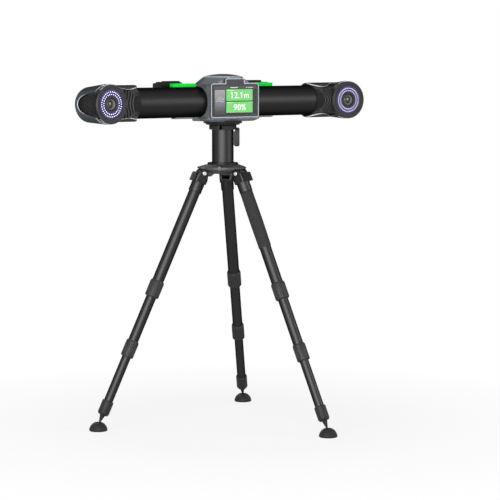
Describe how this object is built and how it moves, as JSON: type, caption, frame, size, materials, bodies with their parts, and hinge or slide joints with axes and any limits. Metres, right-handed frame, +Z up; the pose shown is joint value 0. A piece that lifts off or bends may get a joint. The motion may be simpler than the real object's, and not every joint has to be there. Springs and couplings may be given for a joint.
{
  "type": "tripod-mounted optical three-d scanner",
  "caption": "Beam-shaped optical scanner with a toed-in lens and light ring at each end and a display in the middle, on a telescopic tripod.",
  "frame": {"origin": "on the floor, at the middle of the bounding box, so the column axis stands 53 mm behind it", "axes": "+X along the beam to the right as seen by a person facing the display, -Y the way the lenses and the display face, +Z up"},
  "size_m": [1.0236, 0.7436, 1.0924],
  "materials": {
    "slate_shell": "satin",
    "bright_rim": "satin",
    "black_tube": "satin",
    "black_plastic": "matte",
    "gloss_black": "gloss",
    "led_board": "gloss",
    "lens_glass": "gloss",
    "screen": "gloss",
    "green_light": "gloss",
    "circuit_board": "satin",
    "leg_tube": "satin",
    "cast_black": "satin",
    "dark_plastic": "satin",
    "rubber": "matte",
    "foam": "matte",
    "steel": "satin"
  },
  "bodies": {
    "tripod_hub": {"spider": "cast_black", "pivot_pins": "steel", "column": "leg_tube", "clamp_collar": "cast_black"},
    "clamp_lever": {"clamp_lever": "dark_plastic"},
    "scanner": {"pan_flange": "cast_black", "beam_tube": "black_tube", "centre_housing": "slate_shell", "top_cap": "black_plastic", "light_strips": "green_light", "rear_module": "black_plastic", "display_frame": "bright_rim", "display_panel": "black_plastic", "display_screen": "screen", "circuit_boards": "circuit_board", "head_casing_left": "slate_shell", "head_casing_right": "slate_shell", "head_core_left": "black_plastic", "head_core_right": "black_plastic", "side_cover_left": "black_plastic", "side_cover_right": "black_plastic", "front_ring_left": "gloss_black", "front_ring_right": "gloss_black", "led_board_left": "led_board", "led_board_right": "led_board", "lens_barrel_left": "gloss_black", "lens_barrel_right": "gloss_black", "lens_glass_left": "lens_glass", "lens_glass_right": "lens_glass"},
    "leg_1_upper": {"leg_yoke_1": "cast_black", "upper_tube_1": "leg_tube"},
    "leg_1_tab": {"angle_tab_1": "dark_plastic"},
    "leg_1_upper_lock": {"upper_lock_1": "rubber"},
    "leg_1_middle": {"middle_tube_1": "leg_tube"},
    "leg_1_lower_lock": {"lower_lock_1": "rubber"},
    "leg_1_lower": {"lower_tube_1": "leg_tube", "ball_end_1": "dark_plastic"},
    "leg_1_foot": {"foot_pad_1": "rubber"},
    "leg_2_upper": {"leg_yoke_2": "cast_black", "upper_tube_2": "leg_tube"},
    "leg_2_tab": {"angle_tab_2": "dark_plastic"},
    "leg_2_upper_lock": {"upper_lock_2": "rubber"},
    "leg_2_middle": {"middle_tube_2": "leg_tube"},
    "leg_2_lower_lock": {"lower_lock_2": "rubber"},
    "leg_2_lower": {"lower_tube_2": "leg_tube", "ball_end_2": "dark_plastic"},
    "leg_2_foot": {"foot_pad_2": "rubber"},
    "leg_3_upper": {"leg_yoke_3": "cast_black", "upper_tube_3": "leg_tube", "foam_grip": "foam"},
    "leg_3_tab": {"angle_tab_3": "dark_plastic"},
    "leg_3_upper_lock": {"upper_lock_3": "rubber"},
    "leg_3_middle": {"middle_tube_3": "leg_tube"},
    "leg_3_lower_lock": {"lower_lock_3": "rubber"},
    "leg_3_lower": {"lower_tube_3": "leg_tube", "ball_end_3": "dark_plastic"},
    "leg_3_foot": {"foot_pad_3": "rubber"}
  },
  "joints": [
    {"name": "lever_flip", "type": "hinge", "parent": "tripod_hub", "child": "clamp_lever", "pos_m": [0.03867, 0.02503, 0.92143], "axis": [-0.5878, -0.809, 0], "range_deg": [0, 100]},
    {"name": "pan", "type": "hinge", "parent": "tripod_hub", "child": "scanner", "pos_m": [0, 0.05313, 0.93543], "axis": [0, 0, 1], "continuous": true},
    {"name": "leg_1_spread", "type": "hinge", "parent": "tripod_hub", "child": "leg_1_upper", "pos_m": [0.04822, 0.10135, 0.78593], "axis": [-0.7071, 0.7071, 0], "range_deg": [0, 24]},
    {"name": "leg_1_tab_pull", "type": "slide", "parent": "leg_1_upper", "child": "leg_1_tab", "axis": [0.646, 0.646, 0.4067], "range_m": [0, 0.007], "stiffness_N_per_m": 300, "springref_m": -0.004},
    {"name": "leg_1_upper_twist", "type": "hinge", "parent": "leg_1_upper", "child": "leg_1_upper_lock", "pos_m": [0.15973, 0.21286, 0.43175], "axis": [0.2876, 0.2876, -0.9135], "range_deg": [0, 90]},
    {"name": "leg_1_middle_slide", "type": "slide", "parent": "leg_1_upper", "child": "leg_1_middle", "axis": [0.2876, 0.2876, -0.9135], "range_m": [-0.144, 0.16]},
    {"name": "leg_1_lower_twist", "type": "hinge", "parent": "leg_1_middle", "child": "leg_1_lower_lock", "pos_m": [0.21725, 0.27038, 0.24904], "axis": [0.2876, 0.2876, -0.9135], "range_deg": [0, 90]},
    {"name": "leg_1_lower_slide", "type": "slide", "parent": "leg_1_middle", "child": "leg_1_lower", "axis": [0.2876, 0.2876, -0.9135], "range_m": [-0.144, 0.16]},
    {"name": "leg_1_foot_tilt", "type": "hinge", "parent": "leg_1_lower", "child": "leg_1_foot", "pos_m": [0.2903, 0.34343, 0.017], "axis": [-0.7071, 0.7071, 0], "range_deg": [-48, 6]},
    {"name": "leg_2_spread", "type": "hinge", "parent": "tripod_hub", "child": "leg_2_upper", "pos_m": [-0.06588, 0.07078, 0.78593], "axis": [-0.2588, -0.9659, 0], "range_deg": [0, 24]},
    {"name": "leg_2_tab_pull", "type": "slide", "parent": "leg_2_upper", "child": "leg_2_tab", "axis": [-0.8824, 0.2364, 0.4067], "range_m": [0, 0.007], "stiffness_N_per_m": 300, "springref_m": -0.004},
    {"name": "leg_2_upper_twist", "type": "hinge", "parent": "leg_2_upper", "child": "leg_2_upper_lock", "pos_m": [-0.2182, 0.11159, 0.43175], "axis": [-0.3929, 0.1053, -0.9135], "range_deg": [0, 90]},
    {"name": "leg_2_middle_slide", "type": "slide", "parent": "leg_2_upper", "child": "leg_2_middle", "axis": [-0.3929, 0.1053, -0.9135], "range_m": [-0.144, 0.16]},
    {"name": "leg_2_lower_twist", "type": "hinge", "parent": "leg_2_middle", "child": "leg_2_lower_lock", "pos_m": [-0.29677, 0.13265, 0.24904], "axis": [-0.3929, 0.1053, -0.9135], "range_deg": [0, 90]},
    {"name": "leg_2_lower_slide", "type": "slide", "parent": "leg_2_middle", "child": "leg_2_lower", "axis": [-0.3929, 0.1053, -0.9135], "range_m": [-0.144, 0.16]},
    {"name": "leg_2_foot_tilt", "type": "hinge", "parent": "leg_2_lower", "child": "leg_2_foot", "pos_m": [-0.39656, 0.15939, 0.017], "axis": [-0.2588, -0.9659, 0], "range_deg": [-48, 6]},
    {"name": "leg_3_spread", "type": "hinge", "parent": "tripod_hub", "child": "leg_3_upper", "pos_m": [0.01765, -0.01275, 0.78593], "axis": [0.9659, 0.2588, 0], "range_deg": [0, 24]},
    {"name": "leg_3_tab_pull", "type": "slide", "parent": "leg_3_upper", "child": "leg_3_tab", "axis": [0.2364, -0.8824, 0.4067], "range_m": [0, 0.007], "stiffness_N_per_m": 300, "springref_m": -0.004},
    {"name": "leg_3_upper_twist", "type": "hinge", "parent": "leg_3_upper", "child": "leg_3_upper_lock", "pos_m": [0.05847, -0.16507, 0.43175], "axis": [0.1053, -0.3929, -0.9135], "range_deg": [0, 90]},
    {"name": "leg_3_middle_slide", "type": "slide", "parent": "leg_3_upper", "child": "leg_3_middle", "axis": [0.1053, -0.3929, -0.9135], "range_m": [-0.144, 0.16]},
    {"name": "leg_3_lower_twist", "type": "hinge", "parent": "leg_3_middle", "child": "leg_3_lower_lock", "pos_m": [0.07952, -0.24364, 0.24904], "axis": [0.1053, -0.3929, -0.9135], "range_deg": [0, 90]},
    {"name": "leg_3_lower_slide", "type": "slide", "parent": "leg_3_middle", "child": "leg_3_lower", "axis": [0.1053, -0.3929, -0.9135], "range_m": [-0.144, 0.16]},
    {"name": "leg_3_foot_tilt", "type": "hinge", "parent": "leg_3_lower", "child": "leg_3_foot", "pos_m": [0.10626, -0.34343, 0.017], "axis": [0.9659, 0.2588, 0], "range_deg": [-48, 6]}
  ]
}
